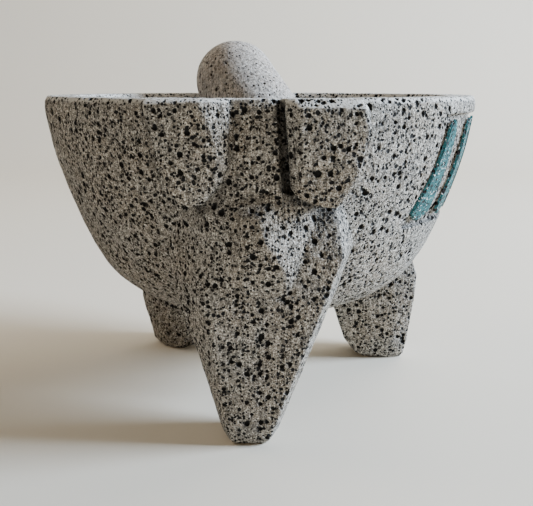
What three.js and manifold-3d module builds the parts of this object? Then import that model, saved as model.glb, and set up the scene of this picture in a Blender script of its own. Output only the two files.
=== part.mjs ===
// Pig-head molcajete: a three-legged mortar carved from one block of vesicular basalt, its
// tejolote (hand-held pestle) leaning in the bowl, and the paint coat on its carved side panel.
// Millimetres, +Z up, the head looks along -Y and the carved panel is on the +X side.

import * as THREE from 'three';
import { ConvexGeometry } from 'three/addons/geometries/ConvexGeometry.js';
import { mergeVertices } from 'three/addons/utils/BufferGeometryUtils.js';
import Module from 'manifold-3d';

const wasm = await Module();
wasm.setup();

// ---------------------------------------------------------------- driving dimensions

const RIM_HEIGHT = 145;
const TURN_STEPS = 84;

// Outside of the bowl: [depth below the rim, radius], from the rim's edge to the underside.
const BOWL_OUTSIDE = [
  [0, 103.8], [1.4, 105], [6, 105.4], [14, 104.2], [26, 101.8], [38, 98.4], [50, 94.2], [62, 89.4],
  [74, 83.8], [84, 77.2], [92, 68.6], [99, 56], [104, 40], [107, 22],
];
const BOWL_UNDERSIDE_DEPTH = 108;

// Inside of the bowl: half an ellipse, with a small round where it meets the flat rim.
const BOWL_INSIDE = { radius: 90, depth: 82, lip: 1.6, steps: 18 };

// The recessed panel is a shallow cut in the bowl's wall, as wide as the two Y faces allow.
const PANEL = { halfWidth: 67.5, low: 88.5, high: 137.5, recess: 2.6 };

// The raised motif is a plain row of upright bars with pointed ends that widen downwards.
const MOTIF = {
  barCentres: [-60.6, -40.4, -20.2, 0, 20.2, 40.4, 60.6],
  topWidth: 4.8,
  footWidth: 10.4,
  point: 3.5,
  low: 91,
  high: 135.4,
};

// The paint coat lies over the motif with its outside flush with the bowl's wall.
const PAINT = { thickness: 0.6, gap: 0.3, setback: 0.25 };


// Tejolote: two domed ends joined by a straight, slightly flared body.
const TEJOLOTE = {
  handleRadius: 22.9,
  workRadius: 25.4,
  spacing: 70,
  handleCentre: [-15, 66, 152],
  towardsBowl: [0.485, -0.463, -0.742],
  domeSteps: 9,
  turnSteps: 48,
};

// ---------------------------------------------------------------- solids and booleans

/** Turns a closed three.js geometry into a Manifold solid. */
function solidOf(geometry) {
  const bare = geometry.clone();
  bare.deleteAttribute('normal');
  bare.deleteAttribute('uv');
  const welded = mergeVertices(bare, 1e-4);
  const mesh = new wasm.Mesh({
    numProp: 3,
    vertProperties: new Float32Array(welded.attributes.position.array),
    triVerts: new Uint32Array(welded.index.array),
  });
  mesh.merge();
  return new wasm.Manifold(mesh);
}

/** Turns a Manifold solid back into a flat-shaded three.js geometry. */
function geometryOf(solid) {
  const mesh = solid.getMesh();
  const geometry = new THREE.BufferGeometry();
  geometry.setAttribute('position', new THREE.BufferAttribute(mesh.vertProperties, 3));
  geometry.setIndex(new THREE.BufferAttribute(mesh.triVerts, 1));
  const flat = geometry.toNonIndexed();
  flat.computeVertexNormals();
  return flat;
}

/** Adds up a list of solids. */
function joined(solids) {
  return solids.reduce((sum, solid) => sum.add(solid));
}

/** Convex solid through a list of [x, y, z] points. */
function hull(points) {
  return solidOf(new ConvexGeometry(points.map((p) => new THREE.Vector3(...p))));
}

/** Upright block between two corners. */
function block(low, high) {
  const size = high.map((value, i) => value - low[i]);
  const geometry = new THREE.BoxGeometry(...size);
  geometry.translate(...low.map((value, i) => value + size[i] / 2));
  return solidOf(geometry);
}

/** Solid turned about the Z axis from a closed list of [radius, height]. */
function turned(profile, steps) {
  const points = profile.map(([radius, height]) => new THREE.Vector2(radius, height));
  const geometry = new THREE.LatheGeometry(points, steps);
  geometry.rotateX(Math.PI / 2);
  return solidOf(geometry);
}

// ---------------------------------------------------------------- bowl

/** Radius of the bowl's outside at a depth below the rim. */
function outsideRadius(depth) {
  const next = BOWL_OUTSIDE.findIndex(([d]) => d >= depth);
  if (next <= 0) return BOWL_OUTSIDE[0][1];
  const [d0, r0] = BOWL_OUTSIDE[next - 1];
  const [d1, r1] = BOWL_OUTSIDE[next];
  return r0 + ((r1 - r0) * (depth - d0)) / (d1 - d0);
}

/** The bowl's full outside, without its hollow. */
function bowlBlock() {
  const wall = BOWL_OUTSIDE.map(([depth, radius]) => [radius, RIM_HEIGHT - depth]);
  const underside = RIM_HEIGHT - BOWL_UNDERSIDE_DEPTH;
  return turned([[0, underside], ...wall.reverse(), [0, RIM_HEIGHT]], TURN_STEPS);
}

/** The hollow, which reaches a little above the rim so that it cuts cleanly. */
function bowlHollow() {
  const { radius, depth, lip, steps } = BOWL_INSIDE;
  const wall = [];
  for (let i = 0; i < steps; i += 1) {
    const angle = (i / steps) * (Math.PI / 2);
    wall.push([radius * Math.sin(angle), RIM_HEIGHT - depth * Math.cos(angle)]);
  }
  wall[0][0] = 0;
  const mouth = [
    [radius, RIM_HEIGHT - lip * 2],
    [radius + lip, RIM_HEIGHT],
    [radius + lip, RIM_HEIGHT + lip],
    [0, RIM_HEIGHT + lip],
  ];
  return turned([...wall, ...mouth], TURN_STEPS);
}

/** A closed skin that follows the bowl's outside between two offsets from it. */
function wallSkin(inner, outer, low, high) {
  const inside = [];
  const outside = [];
  const heights = [low, ...BOWL_OUTSIDE.map(([depth]) => RIM_HEIGHT - depth), high]
    .filter((height) => height >= low && height <= high)
    .sort((a, b) => a - b);
  for (const height of new Set(heights)) {
    const radius = outsideRadius(RIM_HEIGHT - height);
    inside.push([radius + inner, height]);
    outside.push([radius + outer, height]);
  }
  return turned([...outside, ...inside.reverse(), outside[0]], TURN_STEPS);
}

// ---------------------------------------------------------------- legs

// One level of a leg, looking outwards along -Y: an eight-sided section with an outer face,
// two sides that lean back from it, and an inner face.
function legLevel([z, shift, lean, outerHalf, outerY, sideHalf, sideY, innerHalf, innerY]) {
  const corners = [
    [lean, outerHalf, outerY],
    [0, sideHalf, sideY],
    [0, sideHalf, (sideY + innerY) / 2],
    [0, innerHalf, innerY],
  ];
  return corners.flatMap(([aside, half, y]) => [-half, half].map((x) => [shift + aside + x, y, z]));
}

// Levels: z, sideways shift, the outer face's own extra shift, then half width and y of the outer
// face, of the sides and of the inner face.
const FRONT_LEG = [
  [0, -4, 0, 6.5, -94, 9.5, -85, 6, -75],
  [3, -4, 0, 8.5, -96.5, 12, -86, 8, -72],
  [37, -1.5, 0, 17, -100, 22.5, -85, 15, -60],
  [66, -1, 3, 25, -104, 33.8, -85, 20, -52],
  [84, 0.5, 7, 26, -103.5, 38.5, -84, 24, -68],
  [104, 0, 8, 23, -95.3, 35, -85, 24, -80],
  [120, 0, 6, 18, -90, 28, -86, 20, -82],
];

const REAR_RIGHT_LEG = [
  [0, 0, 0, 9, -84.5, 10.5, -78, 9, -64],
  [3, 0, 0, 11, -86, 12.5, -78, 10.5, -59],
  [12, 0, 0, 13, -87.5, 15, -79, 12.5, -52.5],
  [33, 0, 0, 17, -89.5, 19, -79, 16, -45.5],
  [50, 0, 0, 19, -90.5, 21, -78, 17, -42],
  [74, 0, -4, 15, -82, 19, -72, 15, -60],
];

const REAR_LEFT_LEG = [
  [0, 0, 0, 8, -84.5, 11.5, -76, 8, -64],
  [3, 0, 0, 10, -86.5, 13.5, -76, 10, -61.5],
  [27, 0, 0, 15, -90, 18.5, -77, 13, -56],
  [50, 0, 0, 18, -91.5, 23, -77, 15, -45],
  [74, 0, 0, 15, -84, 23, -77, 15, -64],
];

// The carver set the two rear legs by eye, so each has its own form, bearing and offset.
const REAR_LEGS = [
  { levels: REAR_RIGHT_LEG, bearing: 90, offset: [-6.2, 24, 0] },
  { levels: REAR_LEFT_LEG, bearing: -130, offset: [9, -6, 0] },
];

/** A rear leg turned to its bearing, measured from the head's direction towards +X. */
function rearLeg({ levels, bearing, offset }) {
  return hull(levels.flatMap(legLevel)).rotate([0, 0, bearing]).translate(offset);
}

// ---------------------------------------------------------------- head

// The forehead runs from the rim down between the ears.
const FOREHEAD = [
  [-10.5, -104.6, 145], [7, -104.8, 145], [-12, -105, 122], [8.5, -105.2, 122],
  [-21, -102, 104], [-12, -105.5, 104], [9.5, -107, 104], [-10.5, -88, 145],
  [7, -88, 145], [-30, -84, 104], [14, -86, 104],
];

// The snout swells out of the forehead and fades into the leg. Its left flank slopes back to the
// wall, and a flat cut bevels its upper right.
const SNOUT = [
  [-14, -104.5, 108], [7, -106, 110], [-8, -109.5, 100], [-0.5, -111.6, 98.6],
  [1.8, -111.6, 99.8], [15.1, -102.4, 104.5], [31, -92.1, 104.5], [22, -100.2, 84],
  [2.5, -111.8, 92], [-20.5, -102.5, 101], [-19, -103, 83], [-6, -109.8, 84],
  [8.3, -109.3, 82.4], [12.6, -106.4, 76.4], [-13.5, -103.6, 71], [-7.5, -104.3, 68],
  [11, -104.6, 69.5], [-38, -84, 104], [-36, -80, 82], [-26, -80, 66],
  [20, -84, 64], [31, -86, 104.5],
];

// Each ear is a thick flap that hangs from the rim, with one bevelled long edge next to the brow.
const EAR_LEFT = [
  [-43, -111, 142.8], [-21.7, -114, 144], [-40.6, -110.6, 133.4], [-37.4, -110, 120.2],
  [-34.3, -109.2, 110.5], [-31, -108.6, 106.6], [-26.5, -108.4, 104.2], [-21.4, -108.6, 105.1],
  [-18.6, -109, 108.3], [-18.9, -113.6, 136.5], [-16.1, -112.8, 129.8], [-15.2, -111.8, 122],
  [-15, -110.4, 116], [-10.9, -109.2, 144], [-11.1, -109, 125.8], [-11.3, -108.6, 120.1],
  [-13.9, -108.2, 113.6], [-42.6, -108, 145], [-22, -111.5, 145], [-10.9, -107.5, 145],
  [-41, -88, 145], [-12, -90, 145], [-36, -87, 118], [-32, -84, 107],
  [-17, -86, 108],
];

const EAR_RIGHT = [
  [14.7, -114, 141.8], [15.6, -112.6, 126.2], [16.7, -110.1, 110.7], [39.5, -113, 141.6],
  [42, -112.1, 133.6], [38.4, -110.6, 118.2], [35.7, -109.8, 111.9], [31.8, -108.6, 106],
  [29.9, -108.6, 104], [21.7, -109.1, 104.9], [14.8, -109.1, 108], [10, -109, 143.4],
  [12.1, -107.2, 111.6], [10, -107.1, 145], [15, -110, 145], [38.5, -108.6, 145],
  [43, -100, 140], [40, -98, 122], [39, -88, 145], [12, -90, 145],
  [31, -84, 105], [14, -86, 109],
];

// The saw cut between the brow and the right ear: wide and deep at the rim, fading downwards.
const BROW_GROOVE = [
  [6.4, -130, 150], [9.9, -130, 150], [6.4, -98.5, 150], [9.9, -98.5, 150],
  [9.2, -130, 107], [10.8, -130, 107], [9.2, -106, 107], [10.8, -106, 107],
];

// ---------------------------------------------------------------- carved panel

/** The panel's recess, cut square to the X axis into the +X side of the wall. */
function panelRecess() {
  const { halfWidth, low, high, recess } = PANEL;
  const skin = wallSkin(-recess, 6, low, high);
  return skin.intersect(block([30, -halfWidth, low - 1], [130, halfWidth, high + 1]));
}

/** One bar of the motif as a prism along X, narrowed on every edge by a setback. */
function barPrism(centre, setback) {
  const { topWidth, footWidth, point, low, high } = MOTIF;
  const top = topWidth / 2 - setback;
  const foot = footWidth / 2 - setback;
  const outline = [
    [0, low + setback],
    [foot, low + point],
    [top, high - point],
    [0, high - setback],
    [-top, high - point],
    [-foot, low + point],
  ];
  return hull([30, 130].flatMap((x) => outline.map(([y, z]) => [x, centre + y, z])));
}

/** The bars in stone, standing up from the recess's floor. */
function motifStone() {
  const skin = wallSkin(-PANEL.recess - 1, -PAINT.thickness - PAINT.gap, PANEL.low, PANEL.high);
  return skin.intersect(joined(MOTIF.barCentres.map((centre) => barPrism(centre, 0))));
}

/** The coat of paint on one bar. */
function barPaint(centre) {
  const skin = wallSkin(-PAINT.thickness, 0, PANEL.low, PANEL.high);
  return skin.intersect(barPrism(centre, PAINT.setback));
}

// ---------------------------------------------------------------- whole pieces

/** The mortar: bowl, legs and head in one block of stone. */
function mortar() {
  const head = [FOREHEAD, SNOUT, EAR_LEFT, EAR_RIGHT].map(hull);
  const legs = [hull(FRONT_LEG.flatMap(legLevel)), ...REAR_LEGS.map(rearLeg)];
  const outside = joined([bowlBlock(), ...legs, ...head]);
  return outside
    .subtract(bowlHollow())
    .subtract(hull(BROW_GROOVE))
    .subtract(panelRecess())
    .add(motifStone());
}

/** The tejolote's closed profile along its own axis, handle dome at the top. */
function tejoloteProfile() {
  const { handleRadius, workRadius, spacing, domeSteps } = TEJOLOTE;
  const profile = [];
  for (let i = 0; i <= domeSteps; i += 1) {
    const angle = (i / domeSteps) * (Math.PI / 2);
    profile.push([workRadius * Math.sin(angle), -spacing - workRadius * Math.cos(angle)]);
  }
  for (let i = domeSteps; i >= 0; i -= 1) {
    const angle = (i / domeSteps) * (Math.PI / 2);
    profile.push([handleRadius * Math.sin(angle), handleRadius * Math.cos(angle)]);
  }
  profile[0][0] = 0;
  profile[profile.length - 1][0] = 0;
  return profile;
}

/** The tejolote, leaning from the far rim down to the bowl's floor. */
function tejolote() {
  const points = tejoloteProfile().map(([radius, height]) => new THREE.Vector2(radius, height));
  const geometry = new THREE.LatheGeometry(points, TEJOLOTE.turnSteps);
  const down = new THREE.Vector3(...TEJOLOTE.towardsBowl).normalize();
  geometry.applyQuaternion(new THREE.Quaternion().setFromUnitVectors(new THREE.Vector3(0, -1, 0), down));
  geometry.translate(...TEJOLOTE.handleCentre);
  return solidOf(geometry);
}

// ---------------------------------------------------------------- named parts

const FINISHES = {
  basalt: { color: 0x77746f, roughness: 0.95, metalness: 0 },
  paleBasalt: { color: 0xa59f97, roughness: 0.85, metalness: 0 },
  tealPaint: { color: 0x1f8a83, roughness: 0.6, metalness: 0 },
};

/** A named mesh with its own material. */
function named(name, solid, finish) {
  const mesh = new THREE.Mesh(geometryOf(solid), new THREE.MeshStandardMaterial(FINISHES[finish]));
  mesh.name = name;
  return mesh;
}

/** Moves every mesh so that the whole box stands centred on the origin. */
function centreOnOrigin(group) {
  const box = new THREE.Box3().setFromObject(group);
  const middle = box.getCenter(new THREE.Vector3());
  for (const mesh of group.children) {
    mesh.geometry.translate(-middle.x, -middle.y, -box.min.z);
  }
  return group;
}

const molcajete = new THREE.Group();
molcajete.name = 'molcajete';
molcajete.add(named('mortar', mortar(), 'basalt'));
molcajete.add(named('tejolote', tejolote(), 'paleBasalt'));
MOTIF.barCentres.forEach((centre, i) => {
  molcajete.add(named(`bar_paint_${i + 1}`, barPaint(centre), 'tealPaint'));
});

export default centreOnOrigin(molcajete);
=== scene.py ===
import logging
import math
from dataclasses import dataclass, field
from enum import Enum

import bmesh
import bpy
from mathutils import Matrix, Vector


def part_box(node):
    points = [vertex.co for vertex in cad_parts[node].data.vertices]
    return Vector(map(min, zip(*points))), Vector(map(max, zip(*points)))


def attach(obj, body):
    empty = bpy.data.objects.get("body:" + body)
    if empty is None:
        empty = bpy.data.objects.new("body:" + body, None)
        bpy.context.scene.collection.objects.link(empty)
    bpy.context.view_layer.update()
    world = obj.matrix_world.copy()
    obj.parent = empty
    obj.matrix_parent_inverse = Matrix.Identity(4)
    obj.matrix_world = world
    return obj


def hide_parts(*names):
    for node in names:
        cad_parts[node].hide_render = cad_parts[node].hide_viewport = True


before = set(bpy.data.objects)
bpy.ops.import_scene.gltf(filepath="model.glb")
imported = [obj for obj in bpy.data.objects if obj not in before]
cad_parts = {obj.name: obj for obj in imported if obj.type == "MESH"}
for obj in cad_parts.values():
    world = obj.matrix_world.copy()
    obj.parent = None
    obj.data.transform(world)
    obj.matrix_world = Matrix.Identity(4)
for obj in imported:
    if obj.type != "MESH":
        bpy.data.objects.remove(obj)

MM = 0.001
LOG = logging.getLogger("molcajete")
TINY = 1e-6
UP = (0.0, 0.0, 1.0)

Point = tuple[float, float, float]
Span = tuple[float, float]
Profile = list[Span]
Colour = tuple[float, float, float, float]
Feed = bpy.types.NodeSocket | float | tuple[float, ...]


# ------------------------------------------------------------------ mesh workshop


class Cut(Enum):
    """How one solid is worked into another."""

    JOIN = "UNION"
    CARVE = "DIFFERENCE"
    KEEP_SHARED = "INTERSECT"


class Workshop:
    """Turns lists of points into closed solids and works them into each other."""

    @staticmethod
    def shift() -> Vector:
        """The step from the bowl's own axis to the frame's origin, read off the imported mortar."""
        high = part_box("mortar")[1]
        return Vector((0.0, high.y - BowlForm().widest * MM, 0.0))

    @staticmethod
    def to_object(mesh_tool: bmesh.types.BMesh, name: str) -> bpy.types.Object:
        """Links a new object for a finished bmesh and frees the bmesh.

        Args:
            mesh_tool: The bmesh, in millimetres about the bowl's axis.
            name: The new object's name.

        Returns:
            The object, at the origin, with its mesh in metres in the frame.
        """
        mesh_tool.transform(Matrix.Translation(Workshop.shift()) @ Matrix.Scale(MM, 4))
        bmesh.ops.recalc_face_normals(mesh_tool, faces=mesh_tool.faces)
        mesh = bpy.data.meshes.new(name)
        mesh_tool.to_mesh(mesh)
        mesh_tool.free()
        obj = bpy.data.objects.new(name, mesh)
        bpy.context.scene.collection.objects.link(obj)
        return obj

    @staticmethod
    def hull(points: list[Point], name: str) -> bpy.types.Object:
        """A convex solid through a list of points.

        Args:
            points: The points, in millimetres about the bowl's axis. Those inside are left out.
            name: The new object's name.

        Returns:
            The closed solid.
        """
        tool = bmesh.new()
        for point in points:
            tool.verts.new(point)
        hull = bmesh.ops.convex_hull(tool, input=tool.verts)
        inner = {*hull["geom_interior"], *hull["geom_unused"]}
        spare = [item for item in inner if isinstance(item, bmesh.types.BMVert)]
        bmesh.ops.delete(tool, geom=spare, context="VERTS")
        return Workshop.to_object(tool, name)

    @staticmethod
    def turned(profile: Profile, name: str, steps: int, turn: Matrix | None = None) -> bpy.types.Object:
        """A solid turned about the Z axis.

        Args:
            profile: Radius and height pairs. It starts and ends on the axis, or closes on itself.
            name: The new object's name.
            steps: Number of steps round the axis.
            turn: Where the turned solid goes afterwards, if it doesn't stand on the bowl's axis.

        Returns:
            The closed solid.
        """
        tool = bmesh.new()
        on_axis = profile[0][0] < TINY
        rings = []
        for radius, height in profile if on_axis else profile[:-1]:
            count = 1 if radius < TINY else steps
            ring = []
            for i in range(count):
                angle = 2 * math.pi * i / steps
                ring.append(tool.verts.new((radius * math.cos(angle), radius * math.sin(angle), height)))
            rings.append(ring)
        pairs = list(zip(rings, rings[1:]))
        if not on_axis:
            pairs.append((rings[-1], rings[0]))
        for low, high in pairs:
            for i in range(steps):
                j = (i + 1) % steps
                corners = [low[i % len(low)], low[j % len(low)], high[j % len(high)], high[i % len(high)]]
                tool.faces.new(dict.fromkeys(corners))
        if turn is not None:
            tool.transform(turn)
        return Workshop.to_object(tool, name)

    @staticmethod
    def finish_modifiers(obj: bpy.types.Object) -> None:
        """Bakes an object's live modifiers into its mesh and removes them.

        Args:
            obj: The object, whose old mesh is thrown away.
        """
        graph = bpy.context.evaluated_depsgraph_get()
        mesh = bpy.data.meshes.new_from_object(obj.evaluated_get(graph), depsgraph=graph)
        obj.modifiers.clear()
        old = obj.data
        obj.data = mesh
        bpy.data.meshes.remove(old)

    @staticmethod
    def work(base: bpy.types.Object, tool: bpy.types.Object, cut: Cut) -> bpy.types.Object:
        """Joins, carves or intersects one solid with another.

        Args:
            base: The solid that is worked on.
            tool: The solid that works on it, which is thrown away.
            cut: How they are put together.

        Returns:
            The base.
        """
        boolean = base.modifiers.new("cut", "BOOLEAN")
        boolean.operation = cut.value
        boolean.solver = "MANIFOLD"
        boolean.object = tool
        Workshop.finish_modifiers(base)
        bpy.data.objects.remove(tool)
        return base

    @staticmethod
    def soften(obj: bpy.types.Object, grain: float, passes: int) -> None:
        """Gives a faceted solid an even skin and rubs its edges round.

        Args:
            obj: The closed solid.
            grain: Size of the new skin's faces, in metres.
            passes: How often the skin is rubbed smooth.
        """
        skin = obj.modifiers.new("skin", "REMESH")
        skin.mode = "VOXEL"
        skin.voxel_size = grain
        skin.use_smooth_shade = True
        rub = obj.modifiers.new("rub", "SMOOTH")
        rub.factor = 0.5
        rub.iterations = passes
        Workshop.finish_modifiers(obj)

    @staticmethod
    def thin_out(obj: bpy.types.Object, most_triangles: int) -> None:
        """Merges the smallest faces, flattest places first, until few enough triangles are left.

        Args:
            obj: The closed solid.
            most_triangles: The number of triangles that it may keep.
        """
        obj.data.calc_loop_triangles()
        count = len(obj.data.loop_triangles)
        if count <= most_triangles:
            return
        thin = obj.modifiers.new("thin", "DECIMATE")
        thin.ratio = most_triangles / count
        thin.use_collapse_triangulate = True
        Workshop.finish_modifiers(obj)

    @staticmethod
    def keep_inside(obj: bpy.types.Object, low: Vector, high: Vector) -> None:
        """Presses any point that strayed past a box back onto its face.

        Args:
            obj: The closed solid.
            low: The box's lowest corner, in metres in the frame.
            high: The box's highest corner.
        """
        for vertex in obj.data.vertices:
            for axis in range(3):
                vertex.co[axis] = min(max(vertex.co[axis], low[axis]), high[axis])


# ------------------------------------------------------------------ node trees


class NodeBoard:
    """A short way to lay out and join the nodes of one tree."""

    def __init__(self, tree: bpy.types.NodeTree) -> None:
        """Starts on an empty tree."""
        self.tree = tree

    def add(self, kind: str, settings: dict[str, object] | None = None,
            **inputs: object) -> bpy.types.Node:
        """Adds a node.

        Args:
            kind: The node's type name.
            settings: Node properties to set, by name.
            **inputs: Input sockets to fill, by name with spaces as underscores, or by number as
                _0, _1 and so on. A socket is linked, and any other value is set.

        Returns:
            The new node.
        """
        node = self.tree.nodes.new(kind)
        for name, value in (settings or {}).items():
            setattr(node, name, value)
        for name, value in inputs.items():
            key = int(name[1:]) if name[0] == "_" else name.replace("_", " ")
            if isinstance(value, bpy.types.NodeSocket):
                self.tree.links.new(value, node.inputs[key])
            else:
                node.inputs[key].default_value = value
        return node

    def math(self, operation: str, a: Feed, b: Feed = 0.0) -> bpy.types.NodeSocket:
        """The result of one sum on two numbers."""
        return self.add("ShaderNodeMath", {"operation": operation}, _0=a, _1=b).outputs[0]

    def vector(self, operation: str, a: Feed, b: Feed = (0.0, 0.0, 0.0),
               scale: Feed | None = None) -> bpy.types.Node:
        """One sum on vectors.

        Args:
            operation: The kind of sum.
            a: The first vector.
            b: The second vector, where the sum has one.
            scale: A socket or number to scale by, where the sum has one.

        Returns:
            The node, whose outputs hold the result.
        """
        node = self.add("ShaderNodeVectorMath", {"operation": operation}, _0=a, _1=b)
        if isinstance(scale, bpy.types.NodeSocket):
            self.tree.links.new(scale, node.inputs["Scale"])
        elif scale is not None:
            node.inputs["Scale"].default_value = scale
        return node

    def ramp(self, value: Feed, span: Span, to: Span = (0.0, 1.0),
             smooth: bool = True) -> bpy.types.NodeSocket:
        """A value moved from one span to another and held at its ends.

        Args:
            value: The value to move.
            span: Where the value starts and ends to have an effect.
            to: The results at the two ends of the span.
            smooth: Whether the change eases in and out.

        Returns:
            The moved value.
        """
        kind = "SMOOTHSTEP" if smooth else "LINEAR"
        node = self.add("ShaderNodeMapRange", {"interpolation_type": kind, "clamp": True}, Value=value,
                        From_Min=span[0], From_Max=span[1], To_Min=to[0], To_Max=to[1])
        return node.outputs["Result"]

    def blend(self, share: Feed, a: Feed, b: Feed) -> bpy.types.NodeSocket:
        """Two colours mixed by a share of the second."""
        return self.add("ShaderNodeMix", {"data_type": "RGBA"}, _0=share, _6=a, _7=b).outputs[2]

    def noise(self, place: bpy.types.NodeSocket, scale: float, detail: float,
              roughness: float = 0.5) -> bpy.types.Node:
        """One noise texture.

        Args:
            place: Where in the stone it is read.
            scale: Waves to the unit of place.
            detail: How many finer layers are added.
            roughness: How strong each finer layer is.

        Returns:
            The node, whose first output is a number and second a colour.
        """
        return self.add("ShaderNodeTexNoise", Vector=place, Scale=scale, Detail=detail,
                        Roughness=roughness)


@dataclass(frozen=True)
class Bubbles:
    """Gas bubbles of one size class, frozen into the stone. Lengths in metres.

    Smallest and largest are radii as shares of the cell; a cell whose share comes out below zero
    holds no bubble.
    """

    cell: float
    smallest: float
    largest: float
    seed: float

    def inside(self, board: NodeBoard, place: bpy.types.NodeSocket) -> bpy.types.NodeSocket:
        """How far inside a bubble each place lies, in metres, negative outside.

        Args:
            board: The tree to work in, geometry or material.
            place: The place in the stone.

        Returns:
            The distance to the bubble's wall.
        """
        moved = board.vector("ADD", place, (self.seed, self.seed / 2, -self.seed)).outputs[0]
        cells = board.add("ShaderNodeTexVoronoi", {"feature": "F1"}, Vector=moved,
                          Scale=1.0 / self.cell, Randomness=1.0)
        lottery = board.vector("DOT_PRODUCT", cells.outputs["Color"], (1.0, 0.0, 0.0)).outputs["Value"]
        reach = board.ramp(lottery, (0.0, 1.0), (self.smallest, self.largest), smooth=False)
        return board.math("MULTIPLY", board.math("SUBTRACT", reach, cells.outputs["Distance"]), self.cell)


@dataclass(frozen=True)
class Vesicles:
    """All the bubbles of one stone: big ones are cut into the mesh, fine ones only shaded."""

    big: tuple[Bubbles, ...]
    fine: tuple[Bubbles, ...]
    raggedness: float = 0.0007
    ragged_size: float = 0.0013
    middle_colour: Point = (0.5, 0.5, 0.5)

    def ragged(self, board: NodeBoard, place: bpy.types.NodeSocket) -> bpy.types.NodeSocket:
        """A place nudged by noise, so that bubbles come out ragged rather than round.

        Args:
            board: The tree to work in.
            place: The place in the stone.

        Returns:
            The nudged place.
        """
        noise = board.noise(place, 1.0 / self.ragged_size, 2.0)
        either_way = board.vector("SUBTRACT", noise.outputs["Color"], self.middle_colour).outputs[0]
        nudge = board.vector("SCALE", either_way, scale=self.raggedness).outputs[0]
        return board.vector("ADD", place, nudge).outputs[0]

    def deepest(self, board: NodeBoard, place: bpy.types.NodeSocket,
                layers: tuple[Bubbles, ...]) -> bpy.types.NodeSocket:
        """How far inside any bubble of some layers each place lies.

        Args:
            board: The tree to work in.
            place: The place in the stone.
            layers: The size classes to look through.

        Returns:
            The greatest distance, in metres.
        """
        found = layers[0].inside(board, place)
        for layer in layers[1:]:
            found = board.math("MAXIMUM", found, layer.inside(board, place))
        return found


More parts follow.
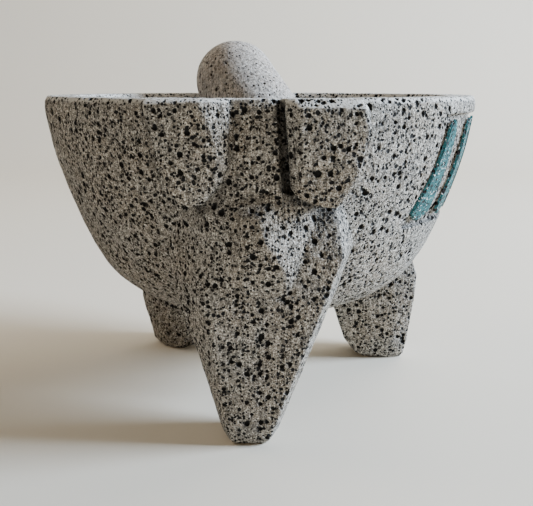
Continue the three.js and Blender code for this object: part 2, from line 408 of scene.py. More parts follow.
class CarvedStoneTree:
    """A tree that roughens a worked stone skin and opens bubbles all over it.

    The tree keeps each point's place before the bubbles were opened as the attribute "skin", so
    that the stone's colour can follow the same bubbles.
    """

    INPUTS = ("Unevenness", "Hand Size", "Bite", "Deepest Bite")
    MIDDLE = 0.5

    def __init__(self, name: str, vesicles: Vesicles) -> None:
        """Builds the tree for one stone.

        Args:
            name: The tree's name.
            vesicles: The stone's bubbles.
        """
        self.vesicles = vesicles
        self.tree = bpy.data.node_groups.new(name, "GeometryNodeTree")
        self.board = NodeBoard(self.tree)
        face = self.tree.interface
        face.new_socket("Geometry", in_out="INPUT", socket_type="NodeSocketGeometry")
        for label in self.INPUTS:
            face.new_socket(label, in_out="INPUT", socket_type="NodeSocketFloat")
        face.new_socket("Stone", in_out="INPUT", socket_type="NodeSocketMaterial")
        face.new_socket("Geometry", in_out="OUTPUT", socket_type="NodeSocketGeometry")
        self._lay_out()

    def _along_normal(self, geometry: bpy.types.NodeSocket,
                      height: bpy.types.NodeSocket) -> bpy.types.NodeSocket:
        """The skin moved along its own normal.

        Args:
            geometry: The skin.
            height: How far out each point goes.

        Returns:
            The moved skin.
        """
        normal = self.board.add("GeometryNodeInputNormal").outputs[0]
        offset = self.board.vector("SCALE", normal, scale=height).outputs[0]
        return self.board.add("GeometryNodeSetPosition", Geometry=geometry, Offset=offset).outputs[0]

    def _uneven(self, geometry: bpy.types.NodeSocket, amount: bpy.types.NodeSocket,
                size: bpy.types.NodeSocket) -> bpy.types.NodeSocket:
        """Moves the skin in and out a little, as hand work leaves it.

        Args:
            geometry: The skin.
            amount: How far it waves.
            size: Length of one wave.

        Returns:
            The waved skin.
        """
        board = self.board
        position = board.add("GeometryNodeInputPosition").outputs[0]
        scaled = board.vector("SCALE", position, scale=board.math("DIVIDE", 1.0, size)).outputs[0]
        wave = board.noise(scaled, 1.0, 3.0, roughness=0.6).outputs[0]
        either_way = board.math("SUBTRACT", wave, self.MIDDLE)
        return self._along_normal(geometry, board.math("MULTIPLY", either_way, amount))

    def _open(self, geometry: bpy.types.NodeSocket, bite: bpy.types.NodeSocket,
              deepest_bite: bpy.types.NodeSocket) -> bpy.types.NodeSocket:
        """Opens the big bubbles.

        Args:
            geometry: The skin.
            bite: Depth of an opened bubble for each metre inside its wall.
            deepest_bite: The most any bubble is opened.

        Returns:
            The pitted skin.
        """
        board = self.board
        position = board.add("GeometryNodeInputPosition").outputs[0]
        kept = board.add("GeometryNodeStoreNamedAttribute",
                         {"data_type": "FLOAT_VECTOR", "domain": "POINT"},
                         Geometry=geometry, Name="skin")
        board.tree.links.new(position, kept.inputs["Value"])
        place = self.vesicles.ragged(board, position)
        inside = board.math("MAXIMUM", self.vesicles.deepest(board, place, self.vesicles.big), 0.0)
        depth = board.math("MINIMUM", board.math("MULTIPLY", inside, bite), deepest_bite)
        return self._along_normal(kept.outputs[0], board.math("MULTIPLY", depth, -1.0))

    def _lay_out(self) -> None:
        """Lays out the whole tree, which ends in plain geometry with its stone set."""
        board = self.board
        source = board.add("NodeGroupInput")
        skin = self._uneven(source.outputs["Geometry"], source.outputs["Unevenness"],
                            source.outputs["Hand Size"])
        skin = self._open(skin, source.outputs["Bite"], source.outputs["Deepest Bite"])
        real = board.add("GeometryNodeRealizeInstances", Geometry=skin).outputs[0]
        coated = board.add("GeometryNodeSetMaterial", Geometry=real,
                           Material=source.outputs["Stone"]).outputs[0]
        board.add("NodeGroupOutput", Geometry=coated)

    def work_on(self, obj: bpy.types.Object, unevenness: float, hand: float, bite: float,
                deepest_bite: float, stone: bpy.types.Material) -> None:
        """Runs the tree on an object and leaves a plain mesh.

        Args:
            obj: The closed, evenly meshed solid.
            unevenness: How far the skin waves in and out, in metres.
            hand: Length of one wave, in metres.
            bite: Depth of an opened bubble for each metre inside its wall.
            deepest_bite: The most any bubble is opened, in metres.
            stone: The material to set.
        """
        values = dict(zip(self.INPUTS, (unevenness, hand, bite, deepest_bite))) | {"Stone": stone}
        modifier = obj.modifiers.new("stone", "NODES")
        modifier.node_group = self.tree
        for item in self.tree.interface.items_tree:
            if item.in_out == "INPUT" and item.name in values:
                modifier[item.identifier] = values[item.name]
        obj.update_tag()
        Workshop.finish_modifiers(obj)


# ------------------------------------------------------------------ finishes


@dataclass(frozen=True)
class Basalt:
    """A vesicular basalt finish: grey ground mass, pale and dark grains, and open pores painted near
    black as their shade.

    A span is where on a noise, a distance or a slope a mark starts and ends to show. Shades are
    what a colour is multiplied by at the two ends of a span. Scales are waves to the metre, and
    lengths are in metres.
    """

    name: str
    vesicles: Vesicles
    ground: Colour
    warm: Colour
    grain: Colour
    cloud_scale: float = 30.0
    cloud_span: Span = (0.38, 0.64)
    grain_size: float = 0.00053
    grain_share: float = 0.85
    grain_span: Span = (0.50, 0.66)
    dark_grain: Colour = (0.02, 0.019, 0.018, 1.0)
    dark_share: float = 0.8
    dark_span: Span = (0.46, 0.32)
    mottle_scale: float = 620.0
    mottle_span: Span = (0.34, 0.52)
    mottle_shades: Span = (0.45, 1.08)
    marks_scale: Point = (1150.0, 1150.0, 110.0)
    marks_span: Span = (0.35, 0.65)
    marks_shades: Span = (0.72, 1.26)
    strokes: tuple[Point, ...] = ((0.3, 0.1, 0.5), (0.5, 0.9, -0.4), (-0.6, -0.8, 0.2))
    patch_scale: float = 34.0
    patch_edges: Span = (0.45, 0.55)
    patch_blur: float = 0.03
    # Painted shade in crevices and deep corners, partly also grinding dust: how far the occlusion looks,
    # its span, and the colour factors at its ends.
    crevice: float = 0.013
    crevice_span: Span = (0.40, 0.95)
    crevice_shades: Span = (0.26, 1.0)
    # Painted light on upward-facing tops above this height, partly also rubbed wear; None leaves it out.
    worn_and_lit_above: float | None = None
    worn_and_lit_fade: float = 0.002
    worn_and_lit_slope: Span = (0.15, 0.6)
    worn_and_lit_share: float = 0.75
    # Painted shade: the near-black colour inside the open pores, and where it starts at their walls.
    pore_shade_colour: Colour = (0.006, 0.0055, 0.005, 1.0)
    pore_shade_edge: Span = (-0.00004, 0.00012)
    pore_wall: Span = (-0.0001, 0.0004)
    sand_scale: float = 1700.0
    sand_depth: float = 0.45
    marks_depth: float = 0.26
    relief: float = 0.0011
    roughness: float = 0.85
    shine: float = 0.3

    def place(self, board: NodeBoard) -> bpy.types.NodeSocket:
        """Each point's place in the stone before its bubbles were opened."""
        return board.add("ShaderNodeAttribute", {"attribute_name": "skin"}).outputs["Vector"]

    def tool_marks(self, board: NodeBoard, place: bpy.types.NodeSocket) -> bpy.types.NodeSocket:
        """Fine parallel scratches whose direction changes from patch to patch.

        Args:
            board: The material to work in.
            place: The place in the stone.

        Returns:
            How far each place stands up between scratches, around one half.
        """
        strokes = []
        for turn in self.strokes:
            laid = board.add("ShaderNodeMapping", Vector=place, Rotation=turn, Scale=self.marks_scale)
            strokes.append(board.noise(laid.outputs[0], 1.0, 1.0).outputs[0])
        patch = board.noise(place, self.patch_scale, 1.0).outputs[0]
        marks = strokes[0]
        for stroke, edge in zip(strokes[1:], self.patch_edges):
            share = board.ramp(patch, (edge - self.patch_blur, edge + self.patch_blur))
            marks = board.add("ShaderNodeMix", {"data_type": "FLOAT"}, _0=share, _2=marks,
                              _3=stroke).outputs[0]
        return marks

    def stone_colour(self, board: NodeBoard, place: bpy.types.NodeSocket,
                     marks: bpy.types.NodeSocket) -> bpy.types.NodeSocket:
        """Ground mass with warm clouds, pale and dark grains and rubbed tool marks.

        Args:
            board: The material to work in.
            place: The place in the stone.
            marks: The tool marks.

        Returns:
            The colour.
        """
        cloud = board.noise(place, self.cloud_scale, 4.0, roughness=0.6).outputs[0]
        colour = board.blend(board.ramp(cloud, self.cloud_span), self.ground, self.warm)
        speck = board.noise(place, 1.0 / self.grain_size, 2.0, roughness=0.6).outputs[0]
        pale = board.math("MULTIPLY", board.ramp(speck, self.grain_span), self.grain_share)
        colour = board.blend(pale, colour, self.grain)
        dark = board.math("MULTIPLY", board.ramp(speck, self.dark_span), self.dark_share)
        colour = board.blend(dark, colour, self.dark_grain)
        mottle = board.noise(place, self.mottle_scale, 3.0).outputs[0]
        shade = board.ramp(mottle, self.mottle_span, self.mottle_shades)
        colour = board.vector("SCALE", colour, scale=shade).outputs[0]
        rubbed = board.ramp(marks, self.marks_span, self.marks_shades)
        return board.vector("SCALE", colour, scale=rubbed).outputs[0]

    def dust_and_shade_in_crevices(self, board: NodeBoard, colour: bpy.types.NodeSocket) -> bpy.types.NodeSocket:
        """A colour darkened in deep corners and crevices by ambient occlusion: painted shade, and partly
        the grey dust that grinding leaves there.

        Args:
            board: The material to work in.
            colour: The colour in the open.

        Returns:
            The darkened colour.
        """
        corner = board.add("ShaderNodeAmbientOcclusion", {"samples": 6, "only_local": True},
                           Distance=self.crevice)
        shade = board.ramp(corner.outputs["AO"], self.crevice_span, self.crevice_shades)
        return board.vector("SCALE", colour, scale=shade).outputs[0]

    def wear_and_light_on_tops(self, board: NodeBoard, colour: bpy.types.NodeSocket,
                place: bpy.types.NodeSocket) -> bpy.types.NodeSocket:
        """A colour made paler on the upward-facing rim and ears' tops: painted light from above, and
        partly the paler wear where they were ground flat and rubbed by hands.

        Args:
            board: The material to work in.
            colour: The colour elsewhere.
            place: The place in the stone.

        Returns:
            The paler colour, or the same one on a stone with no paler top.
        """
        if self.worn_and_lit_above is None:
            return colour
        height = board.vector("DOT_PRODUCT", place, UP).outputs["Value"]
        normal = board.add("ShaderNodeNewGeometry").outputs["Normal"]
        upward = board.vector("DOT_PRODUCT", normal, UP).outputs["Value"]
        high = board.ramp(height, (self.worn_and_lit_above, self.worn_and_lit_above + self.worn_and_lit_fade))
        level = board.ramp(upward, self.worn_and_lit_slope, (0.0, self.worn_and_lit_share))
        return board.blend(board.math("MULTIPLY", high, level), colour, self.grain)

    def height(self, board: NodeBoard, place: bpy.types.NodeSocket, inside: bpy.types.NodeSocket,
               marks: bpy.types.NodeSocket) -> bpy.types.NodeSocket:
        """The fine relief: pores, sandy grain and tool marks.

        Args:
            board: The material to work in.
            place: The place in the stone.
            inside: How far inside a bubble each place lies.
            marks: The tool marks.

        Returns:
            The height, as a share of the relief.
        """
        sand = board.noise(place, self.sand_scale, 2.0).outputs[0]
        height = board.math("SUBTRACT", 1.0, board.ramp(inside, self.pore_wall))
        height = board.math("ADD", height, board.math("MULTIPLY", sand, self.sand_depth))
        return board.math("ADD", height, board.math("MULTIPLY", marks, self.marks_depth))

    def surface(self, board: NodeBoard, colour: bpy.types.NodeSocket,
                height: bpy.types.NodeSocket) -> None:
        """Ends the material with this finish's roughness and relief.

        Args:
            board: The material to work in.
            colour: The finished colour.
            height: The fine relief.
        """
        bump = board.add("ShaderNodeBump", Height=height, Strength=1.0, Distance=self.relief)
        shader = board.add("ShaderNodeBsdfPrincipled", Base_Color=colour, Roughness=self.roughness,
                           Specular_IOR_Level=self.shine, Normal=bump.outputs[0])
        board.add("ShaderNodeOutputMaterial", Surface=shader.outputs[0])

    def material(self) -> bpy.types.Material:
        """Builds the finish.

        Returns:
            The material.
        """
        made = bpy.data.materials.new(self.name)
        made.use_nodes = True
        made.node_tree.nodes.clear()
        board = NodeBoard(made.node_tree)
        place = self.place(board)
        ragged = self.vesicles.ragged(board, place)
        inside = self.vesicles.deepest(board, ragged, self.vesicles.big + self.vesicles.fine)
        marks = self.tool_marks(board, place)
        # Painted shade, partly also grinding dust, darkens the crevices and deep corners.
        colour = self.dust_and_shade_in_crevices(board, self.stone_colour(board, place, marks))
        # Painted light, partly also rubbed wear, pales the upward-facing rim and ear tops.
        colour = self.wear_and_light_on_tops(board, colour, place)
        # Painted shade: pores turn near black inside.
        colour = board.blend(board.ramp(inside, self.pore_shade_edge), colour, self.pore_shade_colour)
        self.surface(board, colour, self.height(board, place, inside, marks))
        return made


@dataclass(frozen=True)
class PaintOnBasalt(Basalt):
    """Brush paint on basalt, worn off the highest grains.

    The ground and warm colours are the paint's darker and lighter strokes.
    """

    brush_scale: float = 420.0
    brush_span: Span = (0.40, 0.62)
    wear_scale: float = 900.0
    wear_span: Span = (0.63, 0.67)
    roughness: float = 0.55

    def place(self, board: NodeBoard) -> bpy.types.NodeSocket:
        """The coat has no opened bubbles of its own, so its place is simply where it lies."""
        return board.add("ShaderNodeTexCoord").outputs["Object"]

    def stone_colour(self, board: NodeBoard, place: bpy.types.NodeSocket,
                     marks: bpy.types.NodeSocket) -> bpy.types.NodeSocket:
        """Brushed paint with bare pale grains showing through.

        Args:
            board: The material to work in.
            place: The place on the coat.
            marks: The tool marks, which the paint fills; not used here.

        Returns:
            The colour.
        """
        brush = board.noise(place, self.brush_scale, 3.0).outputs[0]
        colour = board.blend(board.ramp(brush, self.brush_span), self.ground, self.warm)
        worn = board.noise(place, self.wear_scale, 2.0).outputs[0]
        return board.blend(board.ramp(worn, self.wear_span), colour, self.grain)


MORTAR_VESICLES = Vesicles(
    big=(Bubbles(0.0052, -0.25, 0.29, 0.3), Bubbles(0.0030, -0.08, 0.43, 1.1)),
    fine=(Bubbles(0.0020, 0.02, 0.48, 2.3), Bubbles(0.0012, 0.06, 0.50, 3.7)),
)
TEJOLOTE_VESICLES = Vesicles(
    big=(Bubbles(0.0050, -0.40, 0.24, 0.7), Bubbles(0.0030, -0.40, 0.32, 1.9)),
    fine=(Bubbles(0.0019, -0.35, 0.38, 2.9), Bubbles(0.0012, -0.35, 0.38, 4.1)),
)
BASALT = Basalt("vesicular_basalt", MORTAR_VESICLES, ground=(0.272, 0.25, 0.217, 1.0),
                warm=(0.267, 0.228, 0.18, 1.0), grain=(0.80, 0.76, 0.685, 1.0),
                worn_and_lit_above=0.1395)
PALE_BASALT = Basalt("worn_pale_basalt", TEJOLOTE_VESICLES, ground=(0.50, 0.455, 0.40, 1.0),
                     warm=(0.47, 0.405, 0.34, 1.0), grain=(0.70, 0.66, 0.61, 1.0), grain_size=0.0011,
                     grain_share=0.6, dark_share=0.30, relief=0.00035, marks_depth=0.06,
                     pore_shade_colour=(0.045, 0.036, 0.029, 1.0))
TEAL = PaintOnBasalt("teal_paint_on_basalt", MORTAR_VESICLES, ground=(0.004, 0.080, 0.084, 1.0),
                     warm=(0.008, 0.125, 0.13, 1.0), grain=(0.80, 0.82, 0.80, 1.0))


# ------------------------------------------------------------------ forms of the mortar


@dataclass
class BowlForm:
    """The round bowl. Millimetres, with the rim's height above the ground."""

    rim_height: float = 145.0
    widest: float = 105.4
    underside: float = 108.0
    wall: Profile = field(default_factory=lambda: [
        (0, 103.8), (1.4, 105), (6, 105.4), (14, 104.2), (26, 101.8), (38, 98.4), (50, 94.2), (62, 89.4),
        (74, 83.8), (84, 77.2), (92, 68.6), (99, 56), (104, 40), (107, 22)])
    hollow_radius: float = 90.0
    hollow_depth: float = 82.0
    lip: float = 1.6
    steps: int = 192
    fine: int = 60

    def radius_at(self, depth: float) -> float:
        """Outside radius, on a smooth curve through the wall's stations.

        Args:
            depth: Depth below the rim.

        Returns:
            The radius.
        """
        for k in range(1, len(self.wall)):
            (d0, r0), (d1, r1) = self.wall[k - 1], self.wall[k]
            if depth <= d1:
                before = self.wall[max(k - 2, 0)]
                after = self.wall[min(k + 1, len(self.wall) - 1)]
                step = d1 - d0
                share = (depth - d0) / step
                slope0 = step * (r1 - before[1]) / max(d1 - before[0], TINY)
                slope1 = step * (after[1] - r0) / max(after[0] - d0, TINY)
                cube, square = share ** 3, share ** 2
                return ((2 * cube - 3 * square + 1) * r0 + (cube - 2 * square + share) * slope0
                        + (3 * square - 2 * cube) * r1 + (cube - square) * slope1)
        return self.wall[-1][1]

    def outside(self) -> bpy.types.Object:
        """The bowl's full outside, without its hollow.

        Returns:
            The closed solid.
        """
        deepest = self.wall[-1][0]
        depths = [deepest * i / self.fine for i in range(self.fine + 1)]
        side = [(self.radius_at(d), self.rim_height - d) for d in depths]
        profile = [(0.0, self.rim_height - self.underside), *reversed(side), (0.0, self.rim_height)]
        return Workshop.turned(profile, "bowl", self.steps)

    def hollow(self) -> bpy.types.Object:
        """The hollow that food is ground in.

        Returns:
            The solid that carves it.
        """
        profile = []
        for i in range(self.fine):
            angle = i / self.fine * math.pi / 2
            height = self.rim_height - self.hollow_depth * math.cos(angle)
            profile.append((self.hollow_radius * math.sin(angle), height))
        profile += [
            (self.hollow_radius, self.rim_height - 2 * self.lip),
            (self.hollow_radius + self.lip, self.rim_height),
            (self.hollow_radius + self.lip, self.rim_height + self.lip),
            (0.0, self.rim_height + self.lip),
        ]
        return Workshop.turned(profile, "hollow", self.steps)

    def skin(self, inner: float, outer: float, low: float, high: float, name: str) -> bpy.types.Object:
        """A closed skin that follows the outside.

        Args:
            inner: Offset of its inside from the bowl's outside.
            outer: Offset of its outside.
            low: Height of its lower edge.
            high: Height of its upper edge.
            name: The new object's name.

        Returns:
            The closed solid.
        """
        heights = [low + (high - low) * i / self.fine for i in range(self.fine + 1)]
        radii = [self.radius_at(self.rim_height - h) for h in heights]
        inside = [(r + inner, h) for r, h in zip(radii, heights)]
        outside = [(r + outer, h) for r, h in zip(radii, heights)]
        return Workshop.turned([*outside, *reversed(inside), outside[0]], name, self.steps)


@dataclass
class LegForm:
    """One tapered leg, given level by level as it looks outwards along -Y.

    A level is z, sideways shift, the outer face's own extra shift, then half width and y of the
    outer face, of the sides and of the inner face, in millimetres.
    """

    name: str
    levels: list[tuple[float, ...]]
    bearing: float = 0.0
    offset: Point = (0.0, 0.0, 0.0)

    def corners(self) -> list[Point]:
        """The corners of every level, turned to the leg's bearing.

        Returns:
            The points, in millimetres about the bowl's axis.
        """
        turn = Matrix.Translation(self.offset) @ Matrix.Rotation(math.radians(self.bearing), 4, "Z")
        points = []
        for z, shift, lean, outer_half, outer_y, side_half, side_y, inner_half, inner_y in self.levels:
            ring = [(lean, outer_half, outer_y), (0.0, side_half, side_y),
                    (0.0, side_half, (side_y + inner_y) / 2), (0.0, inner_half, inner_y)]
            for aside, half, y in ring:
                points += [tuple(turn @ Vector((shift + aside + x, y, z))) for x in (-half, half)]
        return points

    def build(self) -> bpy.types.Object:
        """The leg as a solid whose top is sunk into the bowl."""
        return Workshop.hull(self.corners(), self.name)


FRONT_LEG = [
    (0, -4, 0, 6.5, -94, 9.5, -85, 6, -75),
    (3, -4, 0, 8.5, -96.5, 12, -86, 8, -72),
    (37, -1.5, 0, 17, -100, 22.5, -85, 15, -60),
    (66, -1, 3, 25, -104, 33.8, -85, 20, -52),
    (84, 0.5, 7, 26, -103.5, 38.5, -84, 24, -68),
    (104, 0, 8, 23, -95.3, 35, -85, 24, -80),
    (120, 0, 6, 18, -90, 28, -86, 20, -82),
]

REAR_RIGHT_LEG = [
    (0, 0, 0, 9, -84.5, 10.5, -78, 9, -64),
    (3, 0, 0, 11, -86, 12.5, -78, 10.5, -59),
    (12, 0, 0, 13, -87.5, 15, -79, 12.5, -52.5),
    (33, 0, 0, 17, -89.5, 19, -79, 16, -45.5),
    (50, 0, 0, 19, -90.5, 21, -78, 17, -42),
    (74, 0, -4, 15, -82, 19, -72, 15, -60),
]

REAR_LEFT_LEG = [
    (0, 0, 0, 8, -84.5, 11.5, -76, 8, -64),
    (3, 0, 0, 10, -86.5, 13.5, -76, 10, -61.5),
    (27, 0, 0, 15, -90, 18.5, -77, 13, -56),
    (50, 0, 0, 18, -91.5, 23, -77, 15, -45),
    (74, 0, 0, 15, -84, 23, -77, 15, -64),
]


@dataclass
class HeadForm:
    """The pig's head: face with its snout, and two hanging ears. Millimetres."""

    forehead: list[Point] = field(default_factory=lambda: [
        (-10.5, -104.6, 145), (7, -104.8, 145), (-12, -105, 122), (8.5, -105.2, 122),
        (-21, -102, 104), (-12, -105.5, 104), (9.5, -107, 104), (-10.5, -88, 145),
        (7, -88, 145), (-30, -84, 104), (14, -86, 104)])
    snout: list[Point] = field(default_factory=lambda: [
        (-14, -104.5, 108), (7, -106, 110), (-8, -109.5, 100), (-0.5, -111.6, 98.6),
        (1.8, -111.6, 99.8), (15.1, -102.4, 104.5), (31, -92.1, 104.5), (22, -100.2, 84),
        (2.5, -111.8, 92), (-20.5, -102.5, 101), (-19, -103, 83), (-6, -109.8, 84),
        (8.3, -109.3, 82.4), (12.6, -106.4, 76.4), (-13.5, -103.6, 71), (-7.5, -104.3, 68),
        (11, -104.6, 69.5), (-38, -84, 104), (-36, -80, 82), (-26, -80, 66),
        (20, -84, 64), (31, -86, 104.5)])
    ear_left: list[Point] = field(default_factory=lambda: [
        (-43, -111, 142.8), (-21.7, -114, 144), (-40.6, -110.6, 133.4), (-37.4, -110, 120.2),
        (-34.3, -109.2, 110.5), (-31, -108.6, 106.6), (-26.5, -108.4, 104.2), (-21.4, -108.6, 105.1),
        (-18.6, -109, 108.3), (-18.9, -113.6, 136.5), (-16.1, -112.8, 129.8), (-15.2, -111.8, 122),
        (-15, -110.4, 116), (-10.9, -109.2, 144), (-11.1, -109, 125.8), (-11.3, -108.6, 120.1),
        (-13.9, -108.2, 113.6), (-42.6, -108, 145), (-22, -111.5, 145), (-10.9, -107.5, 145),
        (-41, -88, 145), (-12, -90, 145), (-36, -87, 118), (-32, -84, 107),
        (-17, -86, 108)])
    ear_right: list[Point] = field(default_factory=lambda: [
        (14.7, -114, 141.8), (15.6, -112.6, 126.2), (16.7, -110.1, 110.7), (39.5, -113, 141.6),
        (42, -112.1, 133.6), (38.4, -110.6, 118.2), (35.7, -109.8, 111.9), (31.8, -108.6, 106),
        (29.9, -108.6, 104), (21.7, -109.1, 104.9), (14.8, -109.1, 108), (10, -109, 143.4),
        (12.1, -107.2, 111.6), (10, -107.1, 145), (15, -110, 145), (38.5, -108.6, 145),
        (43, -100, 140), (40, -98, 122), (39, -88, 145), (12, -90, 145),
        (31, -84, 105), (14, -86, 109)])
    groove: list[Point] = field(default_factory=lambda: [
        (6.4, -130, 150), (9.9, -130, 150), (6.4, -98.5, 150), (9.9, -98.5, 150),
        (9.2, -130, 107), (10.8, -130, 107), (9.2, -106, 107), (10.8, -106, 107)])

    def solids(self) -> list[bpy.types.Object]:
        """The four carved forms, each sunk into the bowl's wall.

        Returns:
            The closed solids.
        """
        parts = {"forehead": self.forehead, "snout": self.snout, "ear_left": self.ear_left,
                 "ear_right": self.ear_right}
        return [Workshop.hull(points, name) for name, points in parts.items()]

    def groove_tool(self) -> bpy.types.Object:
        """The wedge that saws the groove between the brow and the right ear."""
        return Workshop.hull(self.groove, "groove")


@dataclass
class PanelForm:
    """The recessed panel on the +X side with its row of raised bars. Millimetres."""

    bowl: BowlForm
    half_width: float = 67.5
    low: float = 88.5
    high: float = 137.5
    recess: float = 2.6
    bar_centres: tuple[float, ...] = (-60.6, -40.4, -20.2, 0.0, 20.2, 40.4, 60.6)
    bar_top: float = 4.8
    bar_foot: float = 10.4
    bar_point: float = 3.5
    bar_low: float = 91.0
    bar_high: float = 135.4
    coat: float = 0.6
    near: float = 30.0
    far: float = 130.0
    clearance: float = 6.0
    overcut: float = 1.0
    gap: float = 0.2

    def recess_tool(self) -> bpy.types.Object:
        """The solid that carves the recess out of the wall.

        Returns:
            The closed solid.
        """
        skin = self.bowl.skin(-self.recess, self.clearance, self.low, self.high, "recess")
        corners = [(x, y, z) for x in (self.near, self.far)
                   for y in (-self.half_width, self.half_width)
                   for z in (self.low - self.overcut, self.high + self.overcut)]
        return Workshop.work(skin, Workshop.hull(corners, "window"), Cut.KEEP_SHARED)

    def bar(self, centre: float, inset: float, inner: float, outer: float, name: str) -> bpy.types.Object:
        """One bar between two offsets from the wall.

        Args:
            centre: The bar's Y.
            inset: How far its outline is drawn in.
            inner: Offset of its back from the bowl's outside.
            outer: Offset of its face from the bowl's outside.
            name: The new object's name.

        Returns:
            The bar as a closed solid.
        """
        top, foot = self.bar_top / 2 - inset, self.bar_foot / 2 - inset
        outline = [(0, self.bar_low + inset), (foot, self.bar_low + self.bar_point),
                   (top, self.bar_high - self.bar_point), (0, self.bar_high - inset),
                   (-top, self.bar_high - self.bar_point), (-foot, self.bar_low + self.bar_point)]
        corners = [(x, centre + y, z) for x in (self.near, self.far) for y, z in outline]
        skin = self.bowl.skin(inner, outer, self.low, self.high, name)
        return Workshop.work(skin, Workshop.hull(corners, "prism"), Cut.KEEP_SHARED)

    def stone_bars(self) -> list[bpy.types.Object]:
        """The bars' stone cores, which stand on the recess's floor.

        Returns:
            The closed solids.
        """
        return [self.bar(centre, self.coat, -self.recess - self.overcut, -self.coat - self.gap, "core")
                for centre in self.bar_centres]


# ------------------------------------------------------------------ whole pieces


@dataclass
class Mortar:
    """The mortar: bowl, three legs, head and panel, all one block of stone."""

    bowl: BowlForm = field(default_factory=BowlForm)
    head: HeadForm = field(default_factory=HeadForm)
    grain: float = 0.0006
    rubbing: int = 3
    unevenness: float = 0.0013
    hand: float = 0.014
    bite: float = 1.6
    deepest_bite: float = 0.0011
    most_triangles: int = 196000

    def legs(self) -> list[bpy.types.Object]:
        """The leg under the snout and the two rear legs.

        Returns:
            The closed solids.
        """
        forms = [LegForm("front_leg", FRONT_LEG),
                 LegForm("rear_right_leg", REAR_RIGHT_LEG, 90.0, (-6.2, 24.0, 0.0)),
                 LegForm("rear_left_leg", REAR_LEFT_LEG, -130.0, (9.0, -6.0, 0.0))]
        return [form.build() for form in forms]

    def block(self) -> bpy.types.Object:
        """The whole form with crisp edges.

        Returns:
            The closed solid.
        """
        panel = PanelForm(self.bowl)
        stone = self.bowl.outside()
        for solid in self.legs() + self.head.solids():
            Workshop.work(stone, solid, Cut.JOIN)
        carvers = [self.bowl.hollow(), panel.recess_tool(), self.head.groove_tool()]
        for carver in carvers:
            Workshop.work(stone, carver, Cut.CARVE)
        for core in panel.stone_bars():
            Workshop.work(stone, core, Cut.JOIN)
        return stone

    def build(self) -> bpy.types.Object:
        """Carves, rubs and pits the stone, and places it in the frame.

        Returns:
            The finished piece.
        """
        stone = self.block()
        Workshop.soften(stone, self.grain, self.rubbing)
        tree = CarvedStoneTree("carved_mortar", MORTAR_VESICLES)
        tree.work_on(stone, self.unevenness, self.hand, self.bite, self.deepest_bite, BASALT.material())
        Workshop.thin_out(stone, self.most_triangles)
        Workshop.keep_inside(stone, *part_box("mortar"))
        stone.name = "mortar_stone"
        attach(stone, "mortar")
        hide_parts("mortar")
        return stone


@dataclass
class Tejolote:
    """The pestle: two domed ends and a slightly flared body. Millimetres about the bowl's axis."""

    handle_radius: float = 22.9
    work_radius: float = 25.4
    spacing: float = 70.0
    handle_centre: Point = (-15.0, 66.0, 152.0)
    towards_bowl: Point = (0.485, -0.463, -0.742)
    dome_steps: int = 24
    steps: int = 128
    grain: float = 0.0005
    rubbing: int = 3
    unevenness: float = 0.0012
    hand: float = 0.02
    bite: float = 1.4
    deepest_bite: float = 0.0008
    most_triangles: int = 90000

    def profile(self) -> Profile:
        """Radius and height pairs along the pestle, handle dome at the top.

        Returns:
            The closed profile.
        """
        angles = [i / self.dome_steps * math.pi / 2 for i in range(self.dome_steps + 1)]
        work = [(self.work_radius * math.sin(a), -self.spacing - self.work_radius * math.cos(a))
                for a in angles]
        handle = [(self.handle_radius * math.sin(a), self.handle_radius * math.cos(a))
                  for a in reversed(angles)]
        return [(0.0, work[0][1]), *work[1:], *handle[:-1], (0.0, handle[-1][1])]

    def build(self) -> bpy.types.Object:
        """Turns the pestle, leans it in the bowl and places it in the frame.

        Returns:
            The finished piece.
        """
        lean = Vector((0, 0, -1)).rotation_difference(Vector(self.towards_bowl).normalized())
        turn = Matrix.Translation(self.handle_centre) @ lean.to_matrix().to_4x4()
        stone = Workshop.turned(self.profile(), "tejolote_stone", self.steps, turn)
        Workshop.soften(stone, self.grain, self.rubbing)
        tree = CarvedStoneTree("carved_tejolote", TEJOLOTE_VESICLES)
        tree.work_on(stone, self.unevenness, self.hand, self.bite, self.deepest_bite,
                     PALE_BASALT.material())
        Workshop.thin_out(stone, self.most_triangles)
        Workshop.keep_inside(stone, *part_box("tejolote"))
        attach(stone, "tejolote")
        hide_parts("tejolote")
        return stone


@dataclass
class PaintedBar:
    """The coat of paint on one raised bar: a thin cap that also runs down the bar's sides."""

    number: int
    panel: PanelForm
    paint: bpy.types.Material
    thickness: float = 0.6
    skirt: float = 1.3
    seat: float = 0.1

    def build(self) -> bpy.types.Object:
        """Builds the coat and places it in the frame.

        Returns:
            The finished piece.
        """
        centre = self.panel.bar_centres[self.number - 1]
        name = f"painted_bar_{self.number}"
        coat = self.panel.bar(centre, 0.0, -self.skirt, -self.seat, name)
        core = self.panel.bar(centre, self.thickness - self.seat, -self.skirt - self.panel.overcut,
                              -self.thickness - self.seat, "core")
        Workshop.work(coat, core, Cut.CARVE)
        coat.data.materials.clear()
        coat.data.materials.append(self.paint)
        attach(coat, "mortar")
        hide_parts(f"bar_paint_{self.number}")
        return coat


# ------------------------------------------------------------------ studio


@dataclass(frozen=True)
class Lamp:
    """A square soft lamp that faces the bowl. Metres and watts."""

    name: str
    place: Point
    size: float
    power: float
    colour: Point
    aim: Point = (0.0, 0.0, 0.08)

    def build(self) -> None:
        """Hangs the lamp."""
        light = bpy.data.lights.new(self.name, "AREA")
        light.shape = "SQUARE"
        light.size = self.size
        light.energy = self.power
        light.color = self.colour
        obj = bpy.data.objects.new(self.name, light)
        obj.location = Vector(self.place)
        obj.rotation_euler = (Vector(self.aim) - obj.location).to_track_quat("-Z", "Y").to_euler()
        bpy.context.scene.collection.objects.link(obj)


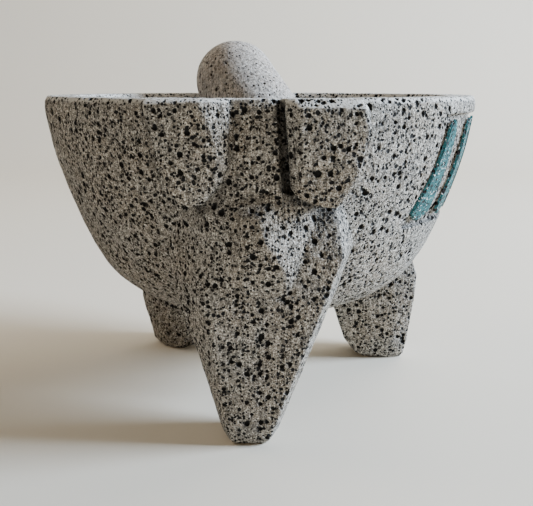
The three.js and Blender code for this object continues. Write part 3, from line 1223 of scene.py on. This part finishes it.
LAMPS = (
    Lamp("window", (1.58, -0.06, 0.72), 0.60, 98.0, (0.64, 0.79, 1.0)),
    Lamp("ceiling", (1.0, 0.9, 1.6), 1.3, 19.0, (1.0, 0.97, 0.93)),
    Lamp("room", (-1.3, 0.35, 1.1), 0.8, 8.0, (1.0, 0.90, 0.76)),
    Lamp("front", (0.45, -1.35, 0.35), 1.0, 2.2, (1.0, 0.72, 0.35)),
)


@dataclass
class Studio:
    """Plain pale floor, soft daylight from the right, and the camera. The floor is in millimetres."""

    floor_colour: Colour = (0.84, 0.75, 0.61, 1.0)
    floor_roughness: float = 0.7
    floor_half: float = 2500.0
    floor_front: float = -2200.0
    floor_back: float = 900.0
    bend_radius: float = 500.0
    bend_steps: int = 14
    backdrop: float = 1800.0
    sky_colour: Colour = (1.0, 0.955, 0.885, 1.0)
    sky_strength: float = 0.105
    camera_place: Point = (3.1, -400.0, 150.2)
    pitch_down: float = 12.3
    sensor: float = 36.0
    lens: float = 52.28

    def floor_path(self) -> Profile:
        """The floor from front to back, seen from the side.

        Returns:
            Y and Z pairs that curve up into the backdrop.
        """
        path = [(self.floor_front, 0.0)]
        for i in range(self.bend_steps + 1):
            angle = math.pi / 2 * i / self.bend_steps
            path.append((self.floor_back + self.bend_radius * math.sin(angle),
                         self.bend_radius * (1 - math.cos(angle))))
        path.append((self.floor_back + self.bend_radius, self.backdrop))
        return path

    def floor(self) -> None:
        """A large pale floor that curves up into a backdrop."""
        tool = bmesh.new()
        rows = [[tool.verts.new((x, y, z)) for x in (-self.floor_half, self.floor_half)]
                for y, z in self.floor_path()]
        for low, high in zip(rows, rows[1:]):
            tool.faces.new((low[0], low[1], high[1], high[0]))
        floor = Workshop.to_object(tool, "floor")
        for polygon in floor.data.polygons:
            polygon.use_smooth = True
        made = bpy.data.materials.new("studio_floor")
        made.use_nodes = True
        shader = made.node_tree.nodes["Principled BSDF"]
        shader.inputs["Base Color"].default_value = self.floor_colour
        shader.inputs["Roughness"].default_value = self.floor_roughness
        floor.data.materials.append(made)

    def lights(self) -> None:
        """Cool window light from the right, weak warm light from the front, and a pale sky."""
        for lamp in LAMPS:
            lamp.build()
        world = bpy.data.worlds.new("pale_sky")
        world.use_nodes = True
        sky = world.node_tree.nodes["Background"]
        sky.inputs["Color"].default_value = self.sky_colour
        sky.inputs["Strength"].default_value = self.sky_strength
        bpy.context.scene.world = world

    def camera(self) -> None:
        """The camera in front of the head, a little above the rim."""
        lens = bpy.data.cameras.new("camera")
        lens.sensor_width = self.sensor
        lens.lens = self.lens
        obj = bpy.data.objects.new("camera", lens)
        obj.location = Vector(self.camera_place) * MM + Workshop.shift()
        obj.rotation_euler = (math.radians(90.0 - self.pitch_down), 0.0, 0.0)
        bpy.context.scene.collection.objects.link(obj)
        bpy.context.scene.camera = obj

    def build(self) -> None:
        """Sets up the whole studio."""
        self.floor()
        self.lights()
        self.camera()


def report(piece: bpy.types.Object) -> None:
    """Logs a finished piece's name and number of triangles."""
    piece.data.calc_loop_triangles()
    LOG.info("%s: %d triangles", piece.name, len(piece.data.loop_triangles))


def main() -> None:
    """Builds the studio, then every piece in order."""
    logging.basicConfig(level=logging.INFO, format="%(name)s: %(message)s")
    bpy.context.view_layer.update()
    Studio().build()
    mortar = Mortar()
    report(mortar.build())
    report(Tejolote().build())
    panel = PanelForm(mortar.bowl)
    paint = TEAL.material()
    for number in range(1, len(panel.bar_centres) + 1):
        report(PaintedBar(number, panel, paint).build())


if __name__ == "__main__":
    main()
